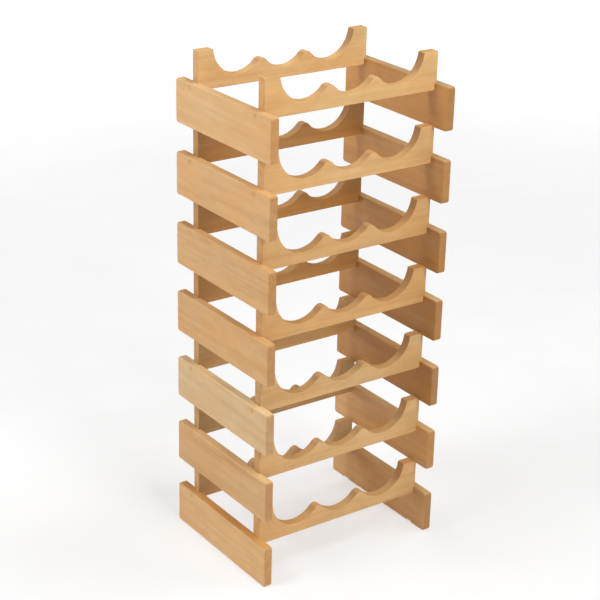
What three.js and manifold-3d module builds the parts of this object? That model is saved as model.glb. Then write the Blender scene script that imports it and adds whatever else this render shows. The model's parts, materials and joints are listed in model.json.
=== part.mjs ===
// Stackable wooden wine rack for 21 bottles: seven identical tiers, three bottles wide.
//
// A tier is two scalloped cross bars, front and rear, and two side slats. The ends of the bars sit in
// shallow housings in the inner faces of the slats. A screw goes through the slat into the end of the
// bar, and a wood plug covers its head. The post at each end of a bar stands above its own slat, and its
// top enters a notch in the bottom edge of the slat of the tier above, so a tier lifts straight off.
//
// Millimetres. X runs to the right along the bars, Y to the back, Z up. The origin is on the surface that
// the rack stands on, in the middle of its footprint.

import * as THREE from "three";
import { mergeVertices } from "three/addons/utils/BufferGeometryUtils.js";
import Module from "manifold-3d";

const wasm = await Module();
wasm.setup();

// Stack
const TIER_COUNT = 7;
const TIER_PITCH = 120; // from one tier to the next, bottom edge of slat to bottom edge of slat

// Side slat: a board on edge, front to back
const SLAT_LENGTH = 268;
const SLAT_HEIGHT = 72;
const SLAT_THICKNESS = 15;
const SLAT_CORNER_RADIUS = 5;

// Cross bar: a board on edge, left to right
const BAR_LENGTH = 326;
const BAR_HEIGHT = 63;
const BAR_THICKNESS = 16;
const BAR_SETBACK = 34; // from the end of the slat to the face of the bar
const BAR_DROP = 12; // how far the bottom edge of the bar lies below the top edge of the slat
const POST_CORNER_RADIUS = 2.5;

// Scallops: three round seats in the top edge of a bar
const SCALLOP_COUNT = 3;
const SCALLOP_PITCH = 86.5;
const SCALLOP_RADIUS = 48.5;
const SCALLOP_FLOOR = 18; // wood left under the lowest point of a scallop
const HUMP_RADIUS = 10; // rounding of the wood between two scallops

// Housing that takes the end of a bar, and notch that takes the post of the tier below
const HOUSING_DEPTH = 4.5;
const NOTCH_HEIGHT = BAR_HEIGHT + SLAT_HEIGHT - BAR_DROP - TIER_PITCH;
const NOTCH_CLEARANCE = 0.3;

// Fastening of a slat to the end of a bar
const SCREW_HEIGHT = 5; // above the bottom edge of the bar
const SCREW_HOLE_RADIUS = 2.2;
const COUNTERBORE_RADIUS = 4.75;
const COUNTERBORE_DEPTH = 6;
const PLUG_LENGTH = 4;
const PLUG_CLEARANCE = 0.05;

// Places that follow from the sizes above
const barCentreY = SLAT_LENGTH / 2 - BAR_SETBACK - BAR_THICKNESS / 2;
const barBottomZ = SLAT_HEIGHT - BAR_DROP;
const slatInnerX = BAR_LENGTH / 2 - HOUSING_DEPTH;
const slatOuterX = slatInnerX + SLAT_THICKNESS;

const SIDES = [
  { name: "left", sign: -1 },
  { name: "right", sign: 1 },
];
const ENDS = [
  { name: "front", sign: -1 },
  { name: "rear", sign: 1 },
];

// Points along an arc, both ends included.
function arc(x, y, radius, from, to, steps) {
  return Array.from({ length: steps + 1 }, (_, i) => {
    const angle = from + ((to - from) * i) / steps;
    return new THREE.Vector2(x + radius * Math.cos(angle), y + radius * Math.sin(angle));
  });
}

// Front outline of a cross bar, anticlockwise from its bottom left corner. Y here is height.
function barOutline() {
  const scallopCentreZ = SCALLOP_FLOOR + SCALLOP_RADIUS;
  const humpCentreZ =
    scallopCentreZ - Math.sqrt((SCALLOP_RADIUS + HUMP_RADIUS) ** 2 - (SCALLOP_PITCH / 2) ** 2);
  const humpAngle = Math.atan2(scallopCentreZ - humpCentreZ, SCALLOP_PITCH / 2);
  const lipAngle = Math.asin((scallopCentreZ - BAR_HEIGHT) / SCALLOP_RADIUS);
  const halfLength = BAR_LENGTH / 2;
  const cornerX = halfLength - POST_CORNER_RADIUS;
  const cornerZ = BAR_HEIGHT - POST_CORNER_RADIUS;

  const points = [new THREE.Vector2(-halfLength, 0), new THREE.Vector2(halfLength, 0)];
  points.push(...arc(cornerX, cornerZ, POST_CORNER_RADIUS, 0, Math.PI / 2, 4));
  for (let i = SCALLOP_COUNT - 1; i >= 0; i--) {
    const x = (i - (SCALLOP_COUNT - 1) / 2) * SCALLOP_PITCH;
    const first = i === SCALLOP_COUNT - 1;
    const last = i === 0;
    const from = first ? -lipAngle : -humpAngle;
    const to = last ? -Math.PI + lipAngle : -Math.PI + humpAngle;
    points.push(...arc(x, scallopCentreZ, SCALLOP_RADIUS, from, to, 16));
    if (last) continue;
    const humpX = x - SCALLOP_PITCH / 2;
    const hump = arc(humpX, humpCentreZ, HUMP_RADIUS, humpAngle, Math.PI - humpAngle, 6);
    points.push(...hump.slice(1, -1)); // its two ends are already on the scallops
  }
  points.push(...arc(-cornerX, cornerZ, POST_CORNER_RADIUS, Math.PI / 2, Math.PI, 4));
  return points;
}

// Outline of a slat seen from the side: x here is front to back, y is height from its bottom edge.
function slatOutline() {
  const r = SLAT_CORNER_RADIUS;
  const right = SLAT_LENGTH / 2 - r;
  const top = SLAT_HEIGHT - r;
  const corners = [
    [right, r, -Math.PI / 2],
    [right, top, 0],
    [-right, top, Math.PI / 2],
    [-right, r, Math.PI],
  ];
  return corners.flatMap(([x, y, from]) => arc(x, y, r, from, from + Math.PI / 2, 5));
}

function extrude(outline, depth) {
  return new THREE.ExtrudeGeometry(new THREE.Shape(outline), { depth, bevelEnabled: false });
}

function toSolid(geometry) {
  const bare = geometry.clone();
  bare.deleteAttribute("normal");
  bare.deleteAttribute("uv");
  const merged = mergeVertices(bare);
  const mesh = new wasm.Mesh({
    numProp: 3,
    vertProperties: merged.attributes.position.array,
    triVerts: new Uint32Array(merged.index.array),
  });
  return new wasm.Manifold(mesh);
}

function toGeometry(solid) {
  const mesh = solid.getMesh();
  const geometry = new THREE.BufferGeometry();
  geometry.setAttribute("position", new THREE.BufferAttribute(mesh.vertProperties, 3));
  geometry.setIndex(new THREE.BufferAttribute(mesh.triVerts, 1));
  return geometry.toNonIndexed();
}

// Box between two corners.
function box(low, high) {
  const size = high.map((value, i) => value - low[i]);
  const middle = high.map((value, i) => (value + low[i]) / 2);
  return new THREE.BoxGeometry(...size).translate(...middle);
}

// Cylinder along X between two X positions.
function rod(radius, fromX, toX, y, z, sides) {
  const geometry = new THREE.CylinderGeometry(radius, radius, toX - fromX, sides);
  return geometry.rotateZ(-Math.PI / 2).translate((fromX + toX) / 2, y, z);
}

// Cross bar, centred on X and Y, with its bottom edge at Z = 0.
function barGeometry() {
  const upright = extrude(barOutline(), BAR_THICKNESS).rotateX(Math.PI / 2);
  return upright.translate(0, BAR_THICKNESS / 2, 0);
}

// Slat for the right side, with its bottom edge at Z = 0, cut for two bars and for two posts below.
function rightSlatGeometry() {
  const board = extrude(slatOutline(), SLAT_THICKNESS);
  board.rotateX(Math.PI / 2).rotateZ(Math.PI / 2).translate(slatInnerX, 0, 0);
  let solid = toSolid(board);
  const past = 5; // how far a cutter runs past the face that it opens
  const housingX = slatInnerX + HOUSING_DEPTH;
  const counterboreX = slatOuterX - COUNTERBORE_DEPTH;
  const screwZ = barBottomZ + SCREW_HEIGHT;
  for (const { sign } of ENDS) {
    const y = sign * barCentreY;
    const halfBar = BAR_THICKNESS / 2;
    const halfNotch = halfBar + NOTCH_CLEARANCE;
    const housing = box(
      [slatInnerX - past, y - halfBar, barBottomZ],
      [housingX, y + halfBar, SLAT_HEIGHT + past],
    );
    const notch = box(
      [slatInnerX - past, y - halfNotch, -past],
      [housingX + NOTCH_CLEARANCE, y + halfNotch, NOTCH_HEIGHT],
    );
    const counterbore = rod(COUNTERBORE_RADIUS, counterboreX, slatOuterX + past, y, screwZ, 16);
    const screwHole = rod(SCREW_HOLE_RADIUS, slatInnerX - past, slatOuterX, y, screwZ, 10);
    for (const cutter of [housing, notch, counterbore, screwHole]) {
      solid = solid.subtract(toSolid(cutter));
    }
  }
  return toGeometry(solid);
}

// Wood plug for the right side, flush with the outer face of the slat, centred on Y and Z.
function rightPlugGeometry() {
  const radius = COUNTERBORE_RADIUS - PLUG_CLEARANCE;
  return rod(radius, slatOuterX - PLUG_LENGTH, slatOuterX, 0, 0, 16);
}

// The same shape for the other side of the rack: half a turn about Z, which every side piece survives.
function turned(geometry) {
  return geometry.clone().rotateZ(Math.PI);
}

function wood(color, roughness) {
  return new THREE.MeshStandardMaterial({ color, roughness, metalness: 0 });
}

const barShape = barGeometry();
const slatShapes = { right: rightSlatGeometry() };
slatShapes.left = turned(slatShapes.right);
const plugShapes = { right: rightPlugGeometry() };
plugShapes.left = turned(plugShapes.right);

function piece(name, geometry, material) {
  const mesh = new THREE.Mesh(geometry, material);
  mesh.name = name;
  return mesh;
}

function buildTier(number) {
  const tier = new THREE.Group();
  const label = `tier_${number}`;
  for (const end of ENDS) {
    const bar = piece(`${label}_${end.name}_bar`, barShape, wood(0xd9ad6c, 0.55));
    bar.position.set(0, end.sign * barCentreY, barBottomZ);
    tier.add(bar);
  }
  for (const side of SIDES) {
    tier.add(piece(`${label}_${side.name}_slat`, slatShapes[side.name], wood(0xd6a873, 0.55)));
    for (const end of ENDS) {
      const name = `${label}_${side.name}_${end.name}_plug`;
      const plug = piece(name, plugShapes[side.name], wood(0xc0915a, 0.6));
      plug.position.set(0, end.sign * barCentreY, barBottomZ + SCREW_HEIGHT);
      tier.add(plug);
    }
  }
  tier.position.z = (number - 1) * TIER_PITCH;
  return tier;
}

const rack = new THREE.Group();
for (let number = 1; number <= TIER_COUNT; number++) {
  rack.add(buildTier(number));
}

export default rack;
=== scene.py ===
"""Looks of a stackable wooden wine rack for 21 bottles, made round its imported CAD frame.

Metres, +Z up, in the frame's own axes: X along the cross bars, Y from front to back. Every board, plug and
screw is a closed mesh made here. Boards and plugs stand where their CAD nodes stand, a screw sits under each
plug, and all of them ride on their tiers. Each point of a board or plug carries its own place in the grain,
so the wood is a solid texture that moves with the piece.
"""

import json
import math
import random

import bpy
import numpy as np
from mathutils import Matrix, Quaternion, Vector

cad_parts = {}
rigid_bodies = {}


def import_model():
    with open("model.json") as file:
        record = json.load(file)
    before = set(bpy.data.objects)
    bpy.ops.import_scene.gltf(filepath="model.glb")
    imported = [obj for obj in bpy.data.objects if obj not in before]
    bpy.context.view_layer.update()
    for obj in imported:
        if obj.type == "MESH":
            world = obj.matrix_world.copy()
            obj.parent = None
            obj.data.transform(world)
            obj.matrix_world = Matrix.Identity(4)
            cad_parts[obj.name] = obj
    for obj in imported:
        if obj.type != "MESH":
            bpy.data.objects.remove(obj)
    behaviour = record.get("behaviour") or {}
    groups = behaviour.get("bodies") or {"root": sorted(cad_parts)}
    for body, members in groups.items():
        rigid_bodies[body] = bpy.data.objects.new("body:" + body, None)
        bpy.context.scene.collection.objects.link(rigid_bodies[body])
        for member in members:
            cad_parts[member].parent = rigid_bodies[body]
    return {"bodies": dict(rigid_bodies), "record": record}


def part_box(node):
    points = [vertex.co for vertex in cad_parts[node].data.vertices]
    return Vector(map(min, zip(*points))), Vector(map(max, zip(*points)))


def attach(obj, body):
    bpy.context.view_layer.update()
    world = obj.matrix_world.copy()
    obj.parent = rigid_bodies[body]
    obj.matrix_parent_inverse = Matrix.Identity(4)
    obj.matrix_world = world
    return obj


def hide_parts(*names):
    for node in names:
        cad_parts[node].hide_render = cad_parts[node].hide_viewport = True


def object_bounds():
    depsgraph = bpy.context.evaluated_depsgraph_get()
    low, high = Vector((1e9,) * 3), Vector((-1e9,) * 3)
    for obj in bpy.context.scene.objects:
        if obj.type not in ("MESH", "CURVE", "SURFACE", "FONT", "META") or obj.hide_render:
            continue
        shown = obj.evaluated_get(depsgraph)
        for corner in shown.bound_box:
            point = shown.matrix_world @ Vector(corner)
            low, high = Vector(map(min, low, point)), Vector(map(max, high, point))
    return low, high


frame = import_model()
cad_low, cad_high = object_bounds()

MM = 0.001

# Camera: its place in metres, how far to the right of the front and how high up it looks from and its
# roll in degrees, and its lens and sensor in millimetres
CAMERA_PLACE = Vector((-1.4660, -2.0343, 1.4686))
CAMERA_AZIMUTH = -35.41
CAMERA_ELEVATION = 22.65
CAMERA_ROLL = 1.32
CAMERA_LENS = 98.92
CAMERA_SENSOR = 36.0

# Shape of a cross bar, besides what its box gives
SCALLOP_COUNT = 3
SCALLOP_PITCH = 86.5 * MM
SCALLOP_RADIUS = 48.5 * MM
SCALLOP_FLOOR = 18 * MM
HUMP_RADIUS = 10 * MM
POST_CORNER_RADIUS = 2.5 * MM
POST_LIP_RADIUS = 2.2 * MM
ROUTED_REACH = 140 * MM
BAR_ARRIS = 1.2 * MM

# Shape of a slat, besides what its box gives
SLAT_CORNER_RADIUS = 5 * MM
SLAT_ARRIS = 2 * MM

# Joints between boards
HOUSING_CLEARANCE = 0.08 * MM
NOTCH_CLEARANCE = 0.15 * MM
CUT_OVERRUN = 5 * MM

# Plugs, and the holes for screws
PLUG_CLEARANCE = 0.05 * MM
PLUG_CHAMFER = 0.25 * MM
COUNTERBORE_DEPTH = 6 * MM
SCREW_HOLE_RADIUS = 2.2 * MM
SCREW_HOLE_OVERLAP = 1 * MM
PILOT_RADIUS = 1.4 * MM
PILOT_DEPTH = 32 * MM

# Screws
SCREW_HEAD_RADIUS = 4 * MM
SCREW_HEAD_HEIGHT = 1.9 * MM
SCREW_CORE_RADIUS = 1.35 * MM
SCREW_THREAD_HEIGHT = 0.6 * MM
SCREW_THREAD_PITCH = 1.8 * MM
SCREW_SHANK_LENGTH = 34 * MM
SCREW_TIP_LENGTH = 4 * MM
SCREW_TIP_BLUNTNESS = 0.06
THREAD_STEEPNESS = 3.2
RECESS_WIDTH = 0.9 * MM
RECESS_LENGTH = 3.8 * MM
RECESS_DEPTH = 1.2 * MM

# Profile of a screw's pan head from its top down, as shares of its height and its radius
SCREW_HEAD_PROFILE = [(0, 0.55), (-0.06, 0.8), (-0.3, 0.97), (-0.55, 1), (-1, 0.98)]

# How finely round shapes are divided, and how they are shaded
ARRIS_STEPS = 6
SLAT_CORNER_STEPS = 8
POST_CORNER_STEPS = 5
POST_LIP_STEPS = 6
SCALLOP_STEPS = 44
HUMP_STEPS = 14
PLUG_SIDES = 48
SCREW_HOLE_SIDES = 32
PILOT_SIDES = 20
SCREW_SIDES = 16
THREAD_STEPS_PER_TURN = 6
SHARP_ANGLE = math.radians(35)
LARGE_FACE_WEIGHT = 100

# How a board is sawn from its log, at random within these: the greatest angle to the pith in radians, its
# least and greatest distance in millimetres, the length of the log in metres, and the greatest slope of
# the grain
WOOD_SEED = 21
PITH_ANGLE = 0.9
PITH_DISTANCE = (35, 90)
LOG_LENGTH = 40
GRAIN_SLOPE = 0.03

# Studio: a floor that bends up into a backdrop, a reflector under it and a dim world
FLOOR_MIDDLE_RADIUS = 0.5
FLOOR_INNER_RADIUS = 1.5
FLOOR_RADIUS = 4.5
BACKDROP_BEND = 1.5
BACKDROP_HEIGHT = 12.0
FLOOR_MOTTLING = (6.0, 6.0, 6.0)
FLOOR_SHADES = (0.44, 0.46)
FLOOR_ROUGHNESS = 0.9
FLOOR_GLOW = 0.5
BACKDROP_GLOW = 0.85
REFLECTOR_DEPTH = 1 * MM
REFLECTOR_RADIUS = 14.0
REFLECTOR_SHADE = 0.9
SHEET_SIDES = 96
BEND_STEPS = 12
WORLD_STRENGTH = 0.03
LIGHT_DISTANCE = 6.0

# Softboxes: degrees to the right of the front, degrees up, width and height in metres, and watts
SOFTBOXES = {
    "front": (0, 30, 1.6, 1.6, 168),
    "front_top": (0, 60, 2.0, 2.0, 60),
    "right_top": (60, 65, 2.0, 2.0, 104),
    "left_top": (-100, 45, 2.4, 2.4, 168),
    "left_low": (-120, 5, 2.4, 1.2, 60),
    "rear": (195, 30, 3.2, 2.4, 80),
    "rear_low": (190, 4, 2.4, 1.2, 50),
    "right_low": (100, 8, 2.4, 1.2, 60),
}

# Sizes and places that follow from the boxes of the frame's nodes
bar_low, bar_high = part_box("tier_1_front_bar")
bar_size = bar_high - bar_low
slat_low, slat_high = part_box("tier_1_right_slat")
slat_size = slat_high - slat_low
plug_low, plug_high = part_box("tier_1_right_front_plug")
plug_size = plug_high - plug_low
tier_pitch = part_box("tier_2_right_slat")[0].z - slat_low.z
bar_centre_y = abs(bar_low.y + bar_high.y) / 2
housing_x = bar_high.x
counterbore_radius = plug_size.z / 2 + PLUG_CLEARANCE
screw_z = (plug_low.z + plug_high.z) / 2
screw_seat_x = slat_high.x - COUNTERBORE_DEPTH


def direction(azimuth, elevation):
    """Unit vector from the rack to a place so many degrees to the right of the front and so many up."""
    azimuth = math.radians(azimuth)
    elevation = math.radians(elevation)
    return Vector((
        math.sin(azimuth) * math.cos(elevation),
        -math.cos(azimuth) * math.cos(elevation),
        math.sin(elevation),
    ))


def add_camera():
    """A camera at its place, turned as its angles say."""
    level = direction(CAMERA_AZIMUTH, CAMERA_ELEVATION).to_track_quat("Z", "Y")
    data = bpy.data.cameras.new("camera")
    data.sensor_width = CAMERA_SENSOR
    data.lens = CAMERA_LENS
    camera = bpy.data.objects.new("camera", data)
    camera.location = CAMERA_PLACE
    camera.rotation_mode = "QUATERNION"
    camera.rotation_quaternion = level @ Quaternion((0, 0, 1), math.radians(CAMERA_ROLL))
    bpy.context.scene.collection.objects.link(camera)
    bpy.context.scene.camera = camera


# ---------------------------------------------------------------- outlines


def arc(centre, radius, start, end, steps):
    """Points along an arc, both ends included."""
    angles = [start + (end - start) * i / steps for i in range(steps + 1)]
    return [Vector(centre) + radius * Vector((math.cos(a), math.sin(a))) for a in angles]


def circle(centre, radius, sides):
    """Points round a circle, each once."""
    return arc(centre, radius, 0, 2 * math.pi * (1 - 1 / sides), sides - 1)


def bar_outline(inset):
    """Outline of a cross bar drawn in by inset: along the bar, and up from its bottom edge."""
    half = bar_size.x / 2
    height = bar_size.z
    quarter = math.pi / 2
    seat_z = SCALLOP_FLOOR + SCALLOP_RADIUS
    hump_z = seat_z - math.sqrt((SCALLOP_RADIUS + HUMP_RADIUS) ** 2 - (SCALLOP_PITCH / 2) ** 2)
    hump_angle = math.atan2(seat_z - hump_z, SCALLOP_PITCH / 2)
    lip_z = height - POST_LIP_RADIUS
    lip_reach = math.sqrt((SCALLOP_RADIUS + POST_LIP_RADIUS) ** 2 - (seat_z - lip_z) ** 2)
    lip_angle = math.atan2(seat_z - lip_z, lip_reach)
    corner = half - POST_CORNER_RADIUS
    corner_z = height - POST_CORNER_RADIUS
    corner_radius = POST_CORNER_RADIUS - inset
    lip_radius = POST_LIP_RADIUS - inset
    end_seat = (SCALLOP_COUNT - 1) / 2 * SCALLOP_PITCH
    lip = end_seat + lip_reach

    points = [Vector((inset - half, inset)), Vector((half - inset, inset))]
    points += arc((corner, corner_z), corner_radius, 0, quarter, POST_CORNER_STEPS)
    points += arc((lip, lip_z), lip_radius, quarter, math.pi - lip_angle, POST_LIP_STEPS)
    for i in range(SCALLOP_COUNT):
        x = end_seat - i * SCALLOP_PITCH
        start = lip_angle if i == 0 else hump_angle
        end = lip_angle if i == SCALLOP_COUNT - 1 else hump_angle
        seat = arc((x, seat_z), SCALLOP_RADIUS + inset, -start, end - math.pi, SCALLOP_STEPS)
        points += seat[1:]
        if i < SCALLOP_COUNT - 1:
            centre = (x - SCALLOP_PITCH / 2, hump_z)
            radius = HUMP_RADIUS - inset
            points += arc(centre, radius, hump_angle, math.pi - hump_angle, HUMP_STEPS)[1:]
    points += arc((-lip, lip_z), lip_radius, lip_angle, quarter, POST_LIP_STEPS)[1:]
    points += arc((-corner, corner_z), corner_radius, quarter, math.pi, POST_CORNER_STEPS)
    return points


def slat_outline(inset):
    """Outline of a slat drawn in by inset: along the slat, and up from its bottom edge."""
    bottom = SLAT_CORNER_RADIUS
    top = slat_size.z - SLAT_CORNER_RADIUS
    end = slat_size.y / 2 - SLAT_CORNER_RADIUS
    radius = SLAT_CORNER_RADIUS - inset
    quarter = math.pi / 2
    points = []
    for i, centre in enumerate([(end, top), (-end, top), (-end, bottom), (end, bottom)]):
        points += arc(centre, radius, i * quarter, (i + 1) * quarter, SLAT_CORNER_STEPS)
    return points


# ---------------------------------------------------------------- meshes


def mesh_points(mesh):
    return np.array([v.co for v in mesh.vertices])


def ring_skin(rings):
    """Faces that join rings of equal length, one after the other, and close the first and the last."""
    count = len(rings[0])
    faces = [list(range(count))[::-1]]
    for ring in range(len(rings) - 1):
        for i in range(count):
            near = ring * count
            far = near + count
            j = (i + 1) % count
            faces.append([near + i, near + j, far + j, far + i])
    faces.append([(len(rings) - 1) * count + i for i in range(count)])
    return faces


def skin_mesh(name, rings):
    """A closed mesh from rings of points, turned so that its faces look out."""
    mesh = bpy.data.meshes.new(name)
    mesh.from_pydata([tuple(p) for ring in rings for p in ring], [], ring_skin(rings))
    mesh.calc_loop_triangles()
    triangles = mesh_points(mesh)[[t.vertices[:] for t in mesh.loop_triangles]]
    volume = np.einsum("ij,ij->", triangles[:, 0], np.cross(triangles[:, 1], triangles[:, 2]))
    if volume < 0:
        mesh.flip_normals()
    return mesh


def eased_board(name, outline, thickness, arris, place):
    """A board with its outline's arrises rounded. place turns (along, through, up) into a point."""
    profile = []
    for i in range(ARRIS_STEPS + 1):
        angle = i / ARRIS_STEPS * math.pi / 2
        profile.append((arris * (1 - math.cos(angle)), arris * (1 - math.sin(angle))))
    profile += [(thickness - depth, inset) for depth, inset in reversed(profile)]
    rings = [[place(p.x, depth, p.y) for p in outline(inset)] for depth, inset in profile]
    return skin_mesh(name, rings)


def box_mesh(low, high):
    """A box to cut with."""
    ring = [(low.x, low.y), (high.x, low.y), (high.x, high.y), (low.x, high.y)]
    return skin_mesh("cutter", [[(x, y, z) for x, y in ring] for z in (low.z, high.z)])


def rod_mesh(radius, start_x, end_x, y, z, sides):
    """A round rod along X, to cut with."""
    ring = circle((y, z), radius, sides)
    return skin_mesh("cutter", [[(x, p.x, p.y) for p in ring] for x in (start_x, end_x)])


def as_object(name, mesh):
    made = bpy.data.objects.new(name, mesh)
    bpy.context.scene.collection.objects.link(made)
    return made


def evaluated_mesh(piece):
    """The piece's mesh with its modifiers applied. The piece itself is removed."""
    depsgraph = bpy.context.evaluated_depsgraph_get()
    mesh = bpy.data.meshes.new_from_object(
        piece.evaluated_get(depsgraph), preserve_all_data_layers=True, depsgraph=depsgraph
    )
    bpy.data.objects.remove(piece)
    return mesh


def carved(mesh, cutters):
    """The mesh with the cutters taken away in turn."""
    piece = as_object("carving", mesh)
    tools = [as_object("cutter", cutter) for cutter in cutters]
    for tool in tools:
        cut = piece.modifiers.new("cut", "BOOLEAN")
        cut.operation = "DIFFERENCE"
        cut.solver = "EXACT"
        cut.object = tool
    result = evaluated_mesh(piece)
    for tool in tools:
        bpy.data.objects.remove(tool)
    return result


def shaded(mesh):
    """Smooth over its rounded parts, and flat over its large faces."""
    mesh.shade_smooth()
    mesh.set_sharp_from_angle(angle=SHARP_ANGLE)
    piece = as_object("shading", mesh)
    weighting = piece.modifiers.new("weighting", "WEIGHTED_NORMAL")
    weighting.keep_sharp = True
    weighting.weight = LARGE_FACE_WEIGHT
    return evaluated_mesh(piece)


def bar_mesh():
    """Front cross bar of the first tier, with a pilot hole for a screw in each end of it."""
    def place(along, through, up):
        return Vector((along, bar_low.y + through, bar_low.z + up))

    mesh = eased_board("bar", bar_outline, bar_size.y, BAR_ARRIS, place)
    y = (bar_low.y + bar_high.y) / 2
    holes = []
    for side in (-1, 1):
        start = side * (housing_x - PILOT_DEPTH)
        end = side * (housing_x + CUT_OVERRUN)
        holes.append(rod_mesh(PILOT_RADIUS, start, end, y, screw_z, PILOT_SIDES))
    return shaded(carved(mesh, holes))


def slat_mesh():
    """Right slat of the first tier, cut for the two bars, for two posts below and for two screws."""
    def place(along, through, up):
        return Vector((slat_low.x + through, along, slat_low.z + up))

    mesh = eased_board("slat", slat_outline, slat_size.x, SLAT_ARRIS, place)
    notch_top = slat_low.z + bar_high.z - tier_pitch
    cutters = []
    half_housing = bar_size.y / 2 + HOUSING_CLEARANCE
    half_notch = bar_size.y / 2 + NOTCH_CLEARANCE
    bore_end = slat_high.x + CUT_OVERRUN
    hole_end = screw_seat_x + SCREW_HOLE_OVERLAP
    for side in (-1, 1):
        y = side * bar_centre_y
        low = Vector((slat_low.x - CUT_OVERRUN, y - half_housing, bar_low.z))
        high = Vector((housing_x, y + half_housing, slat_high.z + CUT_OVERRUN))
        cutters.append(box_mesh(low, high))
        low = Vector((slat_low.x - CUT_OVERRUN, y - half_notch, slat_low.z - CUT_OVERRUN))
        high = Vector((housing_x + NOTCH_CLEARANCE, y + half_notch, notch_top))
        cutters.append(box_mesh(low, high))
        cutters.append(rod_mesh(counterbore_radius, screw_seat_x, bore_end, y, screw_z, PLUG_SIDES))
        cutters.append(rod_mesh(SCREW_HOLE_RADIUS, slat_low.x, hole_end, y, screw_z, SCREW_HOLE_SIDES))
    return shaded(carved(mesh, cutters))


def plug_mesh():
    """Wood plug along X with a small chamfer round each end, its outer end at x = 0."""
    radius = plug_size.z / 2
    length = plug_size.x
    profile = [
        (0, radius - PLUG_CHAMFER),
        (-PLUG_CHAMFER, radius),
        (PLUG_CHAMFER - length, radius),
        (-length, radius - PLUG_CHAMFER),
    ]
    rings = [[(x, p.x, p.y) for p in circle((0, 0), r, PLUG_SIDES)] for x, r in profile]
    return shaded(skin_mesh("plug", rings))


def cross_cutter():
    """Prism of a cross, to sink the recess of a screw head whose top looks along +X at x = 0."""
    long = RECESS_LENGTH / 2
    short = RECESS_WIDTH / 2
    corner = [(long, -short), (long, short), (short, short)]
    ring = []
    for turn in range(4):
        spin = Matrix.Rotation(turn * math.pi / 2, 2)
        ring += [spin @ Vector(p) for p in corner]
    return skin_mesh("cutter", [[(x, p.x, p.y) for p in ring] for x in (-RECESS_DEPTH, CUT_OVERRUN)])


def screw_head_rings():
    """Rings of a screw's head, from its top down."""
    rings = []
    for height, width in SCREW_HEAD_PROFILE:
        ring = circle((0, 0), width * SCREW_HEAD_RADIUS, SCREW_SIDES)
        rings.append([(height * SCREW_HEAD_HEIGHT, p.x, p.y) for p in ring])
    return rings


def screw_shank_ring(depth):
    """Ring of the threaded shank at a depth under the head, where the thread is a helical ridge."""
    left = SCREW_SHANK_LENGTH - depth
    taper = min(1.0, SCREW_TIP_BLUNTNESS + left / SCREW_TIP_LENGTH)
    ring = []
    for i in range(SCREW_SIDES):
        turn = i / SCREW_SIDES
        phase = (depth / SCREW_THREAD_PITCH - turn) % 1
        ridge = max(0.0, 1 - abs(phase - 0.5) * THREAD_STEEPNESS)
        radius = taper * (SCREW_CORE_RADIUS + SCREW_THREAD_HEIGHT * ridge)
        angle = 2 * math.pi * turn
        x = -SCREW_HEAD_HEIGHT - depth
        ring.append((x, radius * math.cos(angle), radius * math.sin(angle)))
    return ring


def screw_mesh():
    """Wood screw along X: a pan head whose top is at x = 0, a threaded shank and a point."""
    rings = screw_head_rings()
    count = round(SCREW_SHANK_LENGTH / SCREW_THREAD_PITCH * THREAD_STEPS_PER_TURN)
    rings += [screw_shank_ring(SCREW_SHANK_LENGTH * step / count) for step in range(count)]
    return shaded(carved(skin_mesh("screw", rings), [cross_cutter()]))


# ---------------------------------------------------------------- materials


X_AXIS = (1.0, 0.0, 0.0)
Y_AXIS = (0.0, 1.0, 0.0)
UNCHANGED = (1.0, 1.0, 1.0)
WHITE = (1.0, 1.0, 1.0, 1.0)

# Noises of the wood: how many features a metre has along, across and through the grain
DRIFT = (3.0, 18.0, 18.0)
PATCHES = (7.0, 40.0, 40.0)
STREAKS = (3.2, 75.0, 75.0)
FIBRES = (16.0, 1300.0, 1300.0)
FLECKS = (190.0, 1500.0, 1500.0)
MOTTLING = (30.0, 70.0, 70.0)
CLOUDS = (8.0, 22.0, 22.0)

# Bands of a noise: most of it, a wider and a narrower band, and the peaks that are left as flecks
NOISE_BAND = (0.3, 0.7)
WIDE_BAND = (0.25, 0.75)
NARROW_BAND = (0.35, 0.65)
FLECK_BAND = (0.62, 0.74)

# Bands of how far a face looks along the grain, for routed scallops and for end grain
SLOPE_BAND = (0.12, 1.0)
END_BAND = (0.45, 0.95)

# Growth rings: how many in a metre, how far they wander, how dark one is across its width, and how much
# of them shows from place to place
RINGS_PER_METRE = 210.0
RING_WANDER = 11 * MM
RING_SHADES = [(0.0, 0.0), (0.55, 0.12), (0.9, 1.0), (1.0, 0.0)]
RING_FADING = (0.25, 1.0)

# How far each feature takes the colour from pale to deep, and what share of that shows
RING_DEPTH = 0.55
STREAK_DEPTH = (-0.18, 0.50)
FIBRE_DEPTH = 0.35
FLECK_DEPTH = 0.3
MOTTLE_DEPTH = (-0.16, 0.16)
DEPTH_SHARE = 0.55

# Changes of colour: of warm wood, of routed scallops, which are partly their darker cut grain and partly
# painted shade, and of arrises that hands have darkened
CLOUD_WARMTH = (-0.09, 0.09)
WARM_SHIFT = (0.10, -0.28, -0.76)
ROUTED_GRAIN_AND_SHADE_TINT = (0.60, 0.52, 0.44)
HANDLED_TINT = (0.93, 0.84, 0.72)
HANDLED_SHARE = (0.15, 0.6)

# Lacquer over the wood: its roughness, what changes it, and its gloss
CLOUD_ROUGHNESS = (0.36, 0.46)
FIBRE_ROUGHNESS = 0.16
END_ROUGHNESS = 0.14
HANDLED_ROUGHNESS = -0.12
LACQUER_SPECULAR = 0.38

# Relief of the wood, where 1 is as high as its depth
RING_RELIEF = 0.5
FIBRE_RELIEF = 0.7
FLECK_RELIEF = -0.8
WOOD_RELIEF_DEPTH = 0.12 * MM
WOOD_RELIEF_STRENGTH = 0.5

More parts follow.
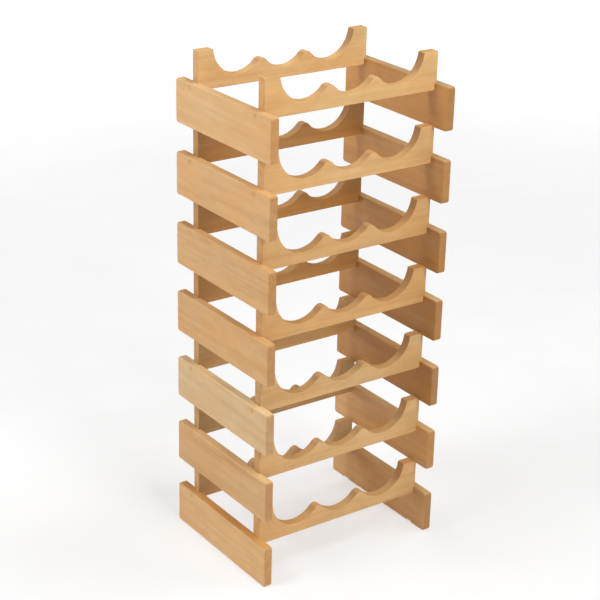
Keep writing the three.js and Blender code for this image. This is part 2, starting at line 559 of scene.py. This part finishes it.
# Zinc plating of the screws
STEEL_MOTTLING = (400.0, 900.0, 900.0)
STEEL_DARK = (0.46, 0.45, 0.42)
STEEL_LIGHT = (0.63, 0.62, 0.58)
STEEL_ROUGHNESS = (0.28, 0.45)
STEEL_RELIEF_DEPTH = 0.03 * MM
STEEL_RELIEF_STRENGTH = 0.3


def grey(shade):
    return (shade, shade, shade)


class Nodes:
    """Short ways to add and link shader nodes in one material."""

    def __init__(self, name):
        self.material = bpy.data.materials.new(name)
        self.material.use_nodes = True
        self.tree = self.material.node_tree
        self.shader = self.tree.nodes["Principled BSDF"]

    def set(self, socket, value):
        if isinstance(value, bpy.types.NodeSocket):
            self.tree.links.new(value, socket)
        else:
            socket.default_value = value

    def attribute(self, name, output="Vector"):
        node = self.tree.nodes.new("ShaderNodeAttribute")
        node.attribute_name = name
        return node.outputs[output]

    def place(self):
        """Each point's own place in its mesh."""
        return self.tree.nodes.new("ShaderNodeTexCoord").outputs["Object"]

    def normal(self):
        """Each point's own normal in its mesh, which turns with the piece."""
        return self.tree.nodes.new("ShaderNodeTexCoord").outputs["Normal"]

    def math(self, operation, first, second=0.0, third=0.0, clamp=False):
        node = self.tree.nodes.new("ShaderNodeMath")
        node.operation = operation
        node.use_clamp = clamp
        for socket, value in zip(node.inputs, (first, second, third)):
            self.set(socket, value)
        return node.outputs[0]

    def vector(self, operation, first, second=(0.0, 0.0, 0.0), output="Vector"):
        node = self.tree.nodes.new("ShaderNodeVectorMath")
        node.operation = operation
        self.set(node.inputs[0], first)
        self.set(node.inputs[1], second)
        return node.outputs[output]

    def scaled(self, vector, factor):
        node = self.tree.nodes.new("ShaderNodeVectorMath")
        node.operation = "SCALE"
        self.set(node.inputs[0], vector)
        self.set(node.inputs["Scale"], factor)
        return node.outputs["Vector"]

    def split(self, vector):
        node = self.tree.nodes.new("ShaderNodeSeparateXYZ")
        self.set(node.inputs[0], vector)
        return node.outputs

    def noise(self, vector, scale, detail=2.0, roughness=0.5, distortion=0.0):
        """Noise from 0 to 1, with as many features in a metre along each direction as scale says."""
        node = self.tree.nodes.new("ShaderNodeTexNoise")
        self.set(node.inputs["Vector"], self.vector("MULTIPLY", vector, scale))
        node.inputs["Scale"].default_value = 1.0
        node.inputs["Detail"].default_value = detail
        node.inputs["Roughness"].default_value = roughness
        node.inputs["Distortion"].default_value = distortion
        return node.outputs["Fac"]

    def spread(self, value, band, result=(0.0, 1.0)):
        """The value, with the two ends of band turned into those of result, softly."""
        node = self.tree.nodes.new("ShaderNodeMapRange")
        node.interpolation_type = "SMOOTHSTEP"
        for socket, given in zip(node.inputs, (value, *band, *result)):
            self.set(socket, given)
        return node.outputs[0]

    def ramp(self, value, stops):
        node = self.tree.nodes.new("ShaderNodeValToRGB")
        self.set(node.inputs[0], value)
        elements = node.color_ramp.elements
        while len(elements) < len(stops):
            elements.new(1.0)
        for element, (position, colour) in zip(elements, stops):
            element.position = position
            element.color = (*colour, 1.0)
        return node.outputs[0]

    def mix(self, factor, first, second, blend="MIX"):
        node = self.tree.nodes.new("ShaderNodeMix")
        node.data_type = "RGBA"
        node.blend_type = blend
        self.set(node.inputs["Factor"], factor)
        for socket, value in zip([s for s in node.inputs if s.type == "RGBA"], (first, second)):
            self.set(socket, value if isinstance(value, bpy.types.NodeSocket) else (*value, 1.0))
        return next(s for s in node.outputs if s.type == "RGBA")

    def bump(self, height, distance, strength):
        node = self.tree.nodes.new("ShaderNodeBump")
        node.inputs["Distance"].default_value = distance
        node.inputs["Strength"].default_value = strength
        self.set(node.inputs["Height"], height)
        self.set(self.shader.inputs["Normal"], node.outputs[0])


def grain_masks(nodes, along, through):
    """How far a face cuts across the grain, is end grain, and is a rounded arris, by its own normal."""
    normal = nodes.normal()
    across_end = nodes.math("ABSOLUTE", nodes.vector("DOT_PRODUCT", normal, along, "Value"))
    slope = nodes.spread(across_end, SLOPE_BAND)
    end = nodes.spread(across_end, END_BAND)
    on_face = nodes.math("ABSOLUTE", nodes.vector("DOT_PRODUCT", normal, through, "Value"))
    off_face = nodes.math("SQRT", nodes.math("SUBTRACT", 1.0, nodes.math("MULTIPLY", on_face, on_face)))
    # The sine of twice the angle to the face, which is 1 halfway round an arris
    arris = nodes.math("MULTIPLY", nodes.math("MULTIPLY", on_face, off_face), 2.0, clamp=True)
    return slope, end, arris


def growth_rings(nodes, grain, figure):
    """Rings round the pith, which wander along the board and fade in places."""
    drift = nodes.noise(grain, DRIFT, detail=3.0)
    around = nodes.vector("MULTIPLY", grain, (0.0, 1.0, 1.0))
    radius = nodes.vector("LENGTH", around, output="Value")
    bent = nodes.math("MULTIPLY_ADD", drift, RING_WANDER, radius)
    ring = nodes.math("FRACT", nodes.math("MULTIPLY", bent, RINGS_PER_METRE))
    late = nodes.ramp(ring, [(position, grey(shade)) for position, shade in RING_SHADES])
    fading = nodes.spread(nodes.noise(grain, PATCHES), NOISE_BAND, RING_FADING)
    return nodes.math("MULTIPLY", late, nodes.math("MULTIPLY", fading, figure))


def grain_depth(nodes, grain, rings, fibre, fleck):
    """How deep the colour is at each point, from pale at 0 to deep at 1."""
    streak = nodes.noise(grain, STREAKS, detail=3.0, roughness=0.55)
    mottle = nodes.noise(grain, MOTTLING, distortion=0.6)
    depth = nodes.math("MULTIPLY_ADD", rings, RING_DEPTH, nodes.spread(streak, WIDE_BAND, STREAK_DEPTH))
    depth = nodes.math("MULTIPLY_ADD", fibre, FIBRE_DEPTH, depth)
    depth = nodes.math("MULTIPLY_ADD", fleck, FLECK_DEPTH, depth)
    depth = nodes.math("ADD", nodes.spread(mottle, NOISE_BAND, MOTTLE_DEPTH), depth)
    return nodes.math("MULTIPLY", depth, DEPTH_SHARE, clamp=True)


def warmed(nodes, colour, warmth):
    """The colour, taken towards orange by a positive warmth and towards grey by a negative one."""
    factor = nodes.vector("ADD", nodes.scaled(WARM_SHIFT, warmth), UNCHANGED)
    return nodes.vector("MULTIPLY", colour, factor)


def wood(name, pale, deep, end_tint, along, through):
    """Planed and lacquered pale hardwood, as a solid texture in the piece's own grain directions."""
    nodes = Nodes(name)
    grain = nodes.attribute("grain")
    lightness_and_painted_shading, warmth, figure = nodes.split(nodes.attribute("tone"))
    slope, end, arris = grain_masks(nodes, along, through)
    rings = growth_rings(nodes, grain, figure)
    fibre = nodes.noise(grain, FIBRES, detail=3.0, roughness=0.6)
    fleck = nodes.spread(nodes.noise(grain, FLECKS, detail=1.0), FLECK_BAND)
    cloud = nodes.noise(grain, CLOUDS)
    # Routed scallops are darkened partly for their cut grain and partly as painted shade
    routed_grain_and_shade = nodes.math("MULTIPLY", slope, nodes.attribute("routed_grain_and_shade", "Fac"))
    handled = nodes.math("MULTIPLY", arris, nodes.spread(cloud, NARROW_BAND, HANDLED_SHARE))

    colour = nodes.mix(grain_depth(nodes, grain, rings, fibre, fleck), pale, deep)
    warm = nodes.math("ADD", nodes.spread(cloud, NOISE_BAND, CLOUD_WARMTH), warmth)
    colour = warmed(nodes, colour, warm)
    for share, tint in ((end, end_tint), (routed_grain_and_shade, ROUTED_GRAIN_AND_SHADE_TINT), (handled, HANDLED_TINT)):
        colour = nodes.mix(share, colour, tint, "MULTIPLY")
    # On boards the lightness holds painted light and shade as well as the wood's tone
    nodes.set(nodes.shader.inputs["Base Color"], nodes.scaled(colour, lightness_and_painted_shading))

    rough = nodes.spread(cloud, NOISE_BAND, CLOUD_ROUGHNESS)
    rough = nodes.math("MULTIPLY_ADD", fibre, FIBRE_ROUGHNESS, rough)
    rough = nodes.math("MULTIPLY_ADD", end, END_ROUGHNESS, rough)
    rough = nodes.math("MULTIPLY_ADD", handled, HANDLED_ROUGHNESS, rough, clamp=True)
    nodes.set(nodes.shader.inputs["Roughness"], rough)
    nodes.shader.inputs["Specular IOR Level"].default_value = LACQUER_SPECULAR

    relief = nodes.math("MULTIPLY", fibre, FIBRE_RELIEF)
    relief = nodes.math("MULTIPLY_ADD", fleck, FLECK_RELIEF, relief)
    relief = nodes.math("MULTIPLY_ADD", rings, RING_RELIEF, relief)
    nodes.bump(relief, WOOD_RELIEF_DEPTH, WOOD_RELIEF_STRENGTH)
    return nodes.material


def bar_wood():
    return wood(
        "bar wood",
        pale=(0.68, 0.43, 0.19),
        deep=(0.46, 0.245, 0.08),
        end_tint=(0.86, 0.80, 0.76),
        along=X_AXIS,
        through=Y_AXIS,
    )


def slat_wood():
    return wood(
        "slat wood",
        pale=(0.67, 0.43, 0.205),
        deep=(0.45, 0.25, 0.09),
        end_tint=(0.81, 0.74, 0.67),
        along=Y_AXIS,
        through=X_AXIS,
    )


def plug_wood():
    return wood(
        "plug wood",
        pale=(0.66, 0.43, 0.18),
        deep=(0.46, 0.25, 0.08),
        end_tint=(0.88, 0.80, 0.68),
        along=X_AXIS,
        through=X_AXIS,
    )


def screw_steel():
    """Zinc-plated steel with a slightly uneven finish."""
    nodes = Nodes("screw steel")
    mottle = nodes.noise(nodes.place(), STEEL_MOTTLING, detail=3.0)
    low, high = NOISE_BAND
    colour = nodes.ramp(mottle, [(low, STEEL_DARK), (high, STEEL_LIGHT)])
    nodes.set(nodes.shader.inputs["Base Color"], colour)
    nodes.shader.inputs["Metallic"].default_value = 1.0
    nodes.set(nodes.shader.inputs["Roughness"], nodes.spread(mottle, NOISE_BAND, STEEL_ROUGHNESS))
    nodes.bump(mottle, STEEL_RELIEF_DEPTH, STEEL_RELIEF_STRENGTH)
    return nodes.material


# ---------------------------------------------------------------- pieces

# How the boards differ, from the lowest tier up: lightness, warmth and strength of figure. This is partly
# each board's own tone and partly painted shade, where a board is darker and warmer
BOARD_TONES_AND_PAINTED_SHADE = {
    "front_bar": [
        (0.99, 0.13, 0.6),
        (0.98, 0.12, 0.7),
        (0.95, 0.08, 0.6),
        (0.96, 0.25, 0.5),
        (0.96, 0.18, 0.5),
        (1.05, 0.15, 0.6),
        (1.12, 0.10, 0.4),
    ],
    "rear_bar": [
        (0.98, 0.05, 0.4),
        (0.90, 0.10, 0.6),
        (0.92, 0.08, 0.7),
        (0.84, 0.30, 0.8),
        (0.82, 0.32, 0.6),
        (0.82, 0.32, 0.7),
        (1.16, 0.00, 0.4),
    ],
    "left_slat": [
        (1.01, 0.16, 0.8),
        (0.91, 0.26, 1.1),
        (1.00, -0.10, 1.1),
        (0.92, 0.32, 0.5),
        (0.96, 0.26, 1.1),
        (0.99, 0.29, 0.5),
        (1.06, 0.21, 0.4),
    ],
    "right_slat": [
        (0.76, 0.33, 0.7),
        (0.86, 0.35, 0.6),
        (0.72, 0.34, 0.7),
        (0.77, 0.48, 0.6),
        (0.80, 0.50, 0.8),
        (0.85, 0.40, 0.5),
        (0.81, 0.54, 0.6),
    ],
}

# Faces whose tone is not their board's, from the lowest tier up. First the lightness and warmth of the faces
# that look into the rack, which are painted shade and, on some tiers, painted light. Then those of the faces
# that look out to the right and to the rear, which keep the wood's tone without the board's painted shade.
# Last, those of the slats' top edges, which are painted light and shade
INNER_PAINTED_LIGHT_AND_SHADE = {
    "front_bar": [
        (0.99, 0.15),
        (0.92, 0.15),
        (0.92, 0.15),
        (0.85, 0.35),
        (0.85, 0.35),
        (0.90, 0.30),
        (1.10, 0.10),
    ],
    "rear_bar": [
        (0.98, 0.05),
        (0.82, -0.05),
        (0.95, 0.12),
        (0.78, 0.48),
        (0.69, 0.55),
        (0.65, 0.54),
        (1.17, 0.00),
    ],
    "left_slat": [
        (0.93, 0.30),
        (0.90, 0.34),
        (0.90, 0.30),
        (0.80, 0.50),
        (0.80, 0.50),
        (0.84, 0.45),
        (0.90, 0.45),
    ],
    "right_slat": [
        (0.95, 0.30),
        (0.98, 0.36),
        (0.67, 0.72),
        (0.66, 0.70),
        (0.67, 0.72),
        (0.74, 0.60),
        (0.81, 0.68),
    ],
}
OUTER_TONES = {
    "rear_bar": [
        (1.02, 0.08),
        (0.97, 0.12),
        (1.03, 0.08),
        (0.95, 0.22),
        (0.96, 0.18),
        (1.00, 0.20),
        (1.12, 0.04),
    ],
    "right_slat": [
        (0.98, 0.20),
        (1.04, 0.14),
        (0.95, 0.22),
        (1.00, 0.10),
        (0.94, 0.28),
        (1.03, 0.16),
        (1.01, 0.24),
    ],
}
# The slats' top edges: painted light and shade, lighter or darker by how light falls on each tier
TOP_PAINTED_LIGHT_AND_SHADE = {
    "left_slat": [
        (0.95, 0.57),
        (1.14, -0.05),
        (1.21, -0.35),
        (0.97, 0.21),
        (0.98, 0.21),
        (1.10, 0.17),
        (1.12, 0.06),
    ],
    "right_slat": [
        (0.98, 0.06),
        (1.20, -0.05),
        (1.06, 0.02),
        (1.21, -0.18),
        (1.03, -0.10),
        (0.97, 0.00),
        (0.97, -0.25),
    ],
}

# How dark the routed scallops are, from the lowest tier up: partly their darker cut grain and partly painted
# shade, most on the top tier
ROUTED_GRAIN_AND_SHADE_BY_TIER = [0.45, 0.35, 0.5, 0.48, 0.6, 0.75, 1.0]

# Plugs differ at random, within these ranges of lightness, warmth and strength of figure
PLUG_TONES = [(1.05, 1.2), (0.08, 0.22), (0.3, 0.9)]

# Which of X, Y and Z runs along, across and through the grain
BAR_GRAIN = [0, 2, 1]
SLAT_GRAIN = [1, 2, 0]
PLUG_GRAIN = [0, 1, 2]


def board_tones_and_painted_shading(points, part, level):
    """Tone at each point of a board, painted light and shade included: its own, blended into those of its
    inner, outer and top faces.
    """
    is_bar = part.endswith("bar")
    arris = BAR_ARRIS if is_bar else SLAT_ARRIS
    through = BAR_GRAIN[2] if is_bar else SLAT_GRAIN[2]
    tones = np.tile(BOARD_TONES_AND_PAINTED_SHADE[part][level], (len(points), 1))
    depth = np.abs(points[:, through])
    faces = [
        (INNER_PAINTED_LIGHT_AND_SHADE, depth - depth.min()),
        (OUTER_TONES, depth.max() - depth),
        (TOP_PAINTED_LIGHT_AND_SHADE, points[:, 2].max() - points[:, 2]),
    ]
    for table, distance in faces:
        if part in table:
            share = np.clip(1 - distance / arris, 0, 1)[:, None]
            tones[:, :2] = tones[:, :2] * (1 - share) + np.array(table[part][level]) * share
    return tones


def routed_grain_and_shade_by_point(points, part, level):
    """How dark each point's scallop is, partly for its cut grain and partly as painted shade. The ends of a
    bar, its underside and the slats have none.
    """
    if not part.endswith("bar"):
        return np.zeros(len(points))
    inside = np.abs(points[:, 0]) < ROUTED_REACH
    above = points[:, 2] > points[:, 2].min() + SCALLOP_FLOOR / 2
    return np.where(inside & above, ROUTED_GRAIN_AND_SHADE_BY_TIER[level], 0.0)


def set_values(mesh, name, values):
    attribute = mesh.attributes.new(name, "FLOAT", "POINT")
    attribute.data.foreach_set("value", np.asarray(values, np.float32))


def set_vectors(mesh, name, values):
    attribute = mesh.attributes.new(name, "FLOAT_VECTOR", "POINT")
    attribute.data.foreach_set("vector", np.asarray(values, np.float32).ravel())


def add_grain(mesh, order, draw):
    """Gives each point its place along, across and through the grain, from a pith beside the piece."""
    points = mesh_points(mesh)
    middle = (points.min(0) + points.max(0)) / 2
    local = (points - middle)[:, order]
    pith_angle = draw.uniform(-PITH_ANGLE, PITH_ANGLE)
    pith_away = draw.uniform(*PITH_DISTANCE) * MM
    log_place = draw.uniform(0, LOG_LENGTH)
    slope = draw.uniform(-GRAIN_SLOPE, GRAIN_SLOPE)
    pith_side = draw.choice((-1, 1))
    local[:, 1] += pith_away * math.sin(pith_angle) + slope * local[:, 0]
    local[:, 2] += pith_away * math.cos(pith_angle) * pith_side
    local[:, 0] += log_place
    set_vectors(mesh, "grain", local)


def centred_on(mesh, target):
    """A copy of the mesh, moved so that the middle of its box is at target."""
    points = mesh_points(mesh)
    middle = Vector((points.min(0) + points.max(0)) / 2)
    copy = mesh.copy()
    copy.transform(Matrix.Translation(target - middle))
    return copy


def turned(mesh):
    """A copy for the other side of the rack, half a turn round."""
    copy = mesh.copy()
    copy.transform(Matrix.Rotation(math.pi, 4, "Z"))
    return copy


def part_name(node):
    """What a node is in its tier, such as left_slat."""
    return node.split("_", 2)[2]


def node_middle(node):
    low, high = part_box(node)
    return (low + high) / 2


def add_piece(name, mesh, materials, slot, body):
    """Makes the mesh a piece of the rack that rides on a body and takes its finish from a slot."""
    mesh.name = name
    mesh.materials.clear()
    mesh.materials.append(materials[slot])
    piece = as_object(name, mesh)
    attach(piece, body)
    return piece


def add_board(node, shape, materials, body, level, draw):
    """Puts a bar or a slat where its node is, in the tones of its tier with their painted light and shade.
    """
    mesh = centred_on(shape, node_middle(node))
    points = mesh_points(mesh)
    part = part_name(node)
    is_bar = part.endswith("bar")
    slot = "bar_wood" if is_bar else "slat_wood"
    add_grain(mesh, BAR_GRAIN if is_bar else SLAT_GRAIN, draw)
    set_vectors(mesh, "tone", board_tones_and_painted_shading(points, part, level))
    set_values(mesh, "routed_grain_and_shade", routed_grain_and_shade_by_point(points, part, level))
    piece = add_piece(f"{node}_board", mesh, materials, slot, body)
    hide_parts(node)


def add_plug(node, shape, materials, body, draw):
    """Puts a plug where its node is, in a tone of its own."""
    mesh = centred_on(shape, node_middle(node))
    tone = [draw.uniform(lowest, highest) for lowest, highest in PLUG_TONES]
    add_grain(mesh, PLUG_GRAIN, draw)
    set_vectors(mesh, "tone", np.tile(tone, (len(mesh.vertices), 1)))
    piece = add_piece(f"{node}_button", mesh, materials, "plug_wood", body)
    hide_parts(node)


def add_screw(node, shape, materials, body):
    """Puts a screw under a plug's node, with its head on the floor of the counterbore."""
    middle = node_middle(node)
    side = 1 if middle.x > 0 else -1
    head_x = side * (screw_seat_x + SCREW_HEAD_HEIGHT)
    mesh = shape.copy() if side > 0 else turned(shape)
    mesh.transform(Matrix.Translation((head_x, middle.y, middle.z)))
    add_piece(node.replace("_plug", "_screw"), mesh, materials, "screw_steel", body)


def add_tiers():
    """Adds every board, plug and screw, tier by tier from the lowest up."""
    bar = bar_mesh()
    slat = slat_mesh()
    plug = plug_mesh()
    screw = screw_mesh()
    boards = {"front_bar": bar, "rear_bar": bar, "left_slat": turned(slat), "right_slat": slat}
    plugs = {"left": turned(plug), "right": plug}
    materials = {
        "bar_wood": bar_wood(),
        "slat_wood": slat_wood(),
        "plug_wood": plug_wood(),
        "screw_steel": screw_steel(),
    }
    draw = random.Random(WOOD_SEED)

    for level, body in enumerate(sorted(frame["bodies"])):
        for node in frame["record"]["behaviour"]["bodies"][body]:
            part = part_name(node)
            if part in boards:
                add_board(node, boards[part], materials, body, level, draw)
            else:
                side = part.split("_")[0]
                add_plug(node, plugs[side], materials, body, draw)
                add_screw(node, screw, materials, body)


# ---------------------------------------------------------------- studio


def sheet_mesh(name, profile):
    """A round sheet from (radius, height) points, closed in the middle and open at its rim."""
    rings = [[(p.x, p.y, z) for p in circle((0, 0), r, SHEET_SIDES)] for r, z in profile]
    mesh = bpy.data.meshes.new(name)
    mesh.from_pydata([p for ring in rings for p in ring], [], ring_skin(rings)[:-1])
    mesh.shade_smooth()
    return mesh


def floor_material():
    """Pale and dull, with a glow that keeps the floor pale all over."""
    nodes = Nodes("floor")
    place = nodes.place()
    shade = nodes.noise(place, FLOOR_MOTTLING)
    stops = zip(NOISE_BAND, FLOOR_SHADES)
    pale = nodes.ramp(shade, [(position, grey(value)) for position, value in stops])
    away = nodes.vector("LENGTH", place, output="Value")
    glow = nodes.spread(away, (FLOOR_INNER_RADIUS, FLOOR_RADIUS), (FLOOR_GLOW, BACKDROP_GLOW))
    nodes.set(nodes.shader.inputs["Base Color"], pale)
    nodes.shader.inputs["Roughness"].default_value = FLOOR_ROUGHNESS
    nodes.shader.inputs["Specular IOR Level"].default_value = 0.0
    nodes.shader.inputs["Emission Color"].default_value = WHITE
    nodes.set(nodes.shader.inputs["Emission Strength"], glow)
    return nodes.material


def reflector_material():
    nodes = Nodes("reflector")
    nodes.shader.inputs["Base Color"].default_value = (*grey(REFLECTOR_SHADE), 1.0)
    nodes.shader.inputs["Roughness"].default_value = 1.0
    return nodes.material


def add_floor():
    """A plain floor that curves up into a backdrop, which only the camera sees."""
    bend = arc((FLOOR_RADIUS, BACKDROP_BEND), BACKDROP_BEND, -math.pi / 2, 0, BEND_STEPS)
    rim = (FLOOR_RADIUS + BACKDROP_BEND, BACKDROP_HEIGHT)
    sheet = sheet_mesh("floor", [(FLOOR_MIDDLE_RADIUS, 0), (FLOOR_INNER_RADIUS, 0), *bend, rim])
    sheet.materials.append(floor_material())
    floor = as_object("floor", sheet)
    floor.visible_diffuse = False
    floor.visible_glossy = False
    floor.visible_shadow = False
    return floor


def add_reflector():
    """A pale sheet under the floor, which throws light back up and which the camera doesn't see."""
    profile = [(FLOOR_MIDDLE_RADIUS, -REFLECTOR_DEPTH), (REFLECTOR_RADIUS, -REFLECTOR_DEPTH)]
    sheet = sheet_mesh("floor_reflector", profile)
    sheet.materials.append(reflector_material())
    reflector = as_object("floor_reflector", sheet)
    reflector.visible_camera = False
    return reflector


def add_softbox(name, azimuth, elevation, width, height, power):
    """An area light that looks at the middle of the rack. Azimuth is to the right of the front."""
    middle = (cad_low + cad_high) / 2
    back = direction(azimuth, elevation)
    data = bpy.data.lights.new(name, "AREA")
    data.shape = "RECTANGLE"
    data.size = width
    data.size_y = height
    data.energy = power
    light = bpy.data.objects.new(name, data)
    light.location = middle + back * LIGHT_DISTANCE
    light.rotation_mode = "QUATERNION"
    light.rotation_quaternion = back.to_track_quat("Z", "Y")
    light.visible_camera = False
    bpy.context.scene.collection.objects.link(light)


def add_studio():
    """A dim white world, the floor and its reflector, and the softboxes."""
    world = bpy.data.worlds.new("studio")
    world.use_nodes = True
    background = world.node_tree.nodes["Background"]
    background.inputs["Color"].default_value = WHITE
    background.inputs["Strength"].default_value = WORLD_STRENGTH
    bpy.context.scene.world = world
    bpy.context.scene.view_settings.view_transform = "Standard"
    add_floor()
    add_reflector()
    for name, softbox in SOFTBOXES.items():
        add_softbox(name, *softbox)


add_camera()
add_tiers()
add_studio()
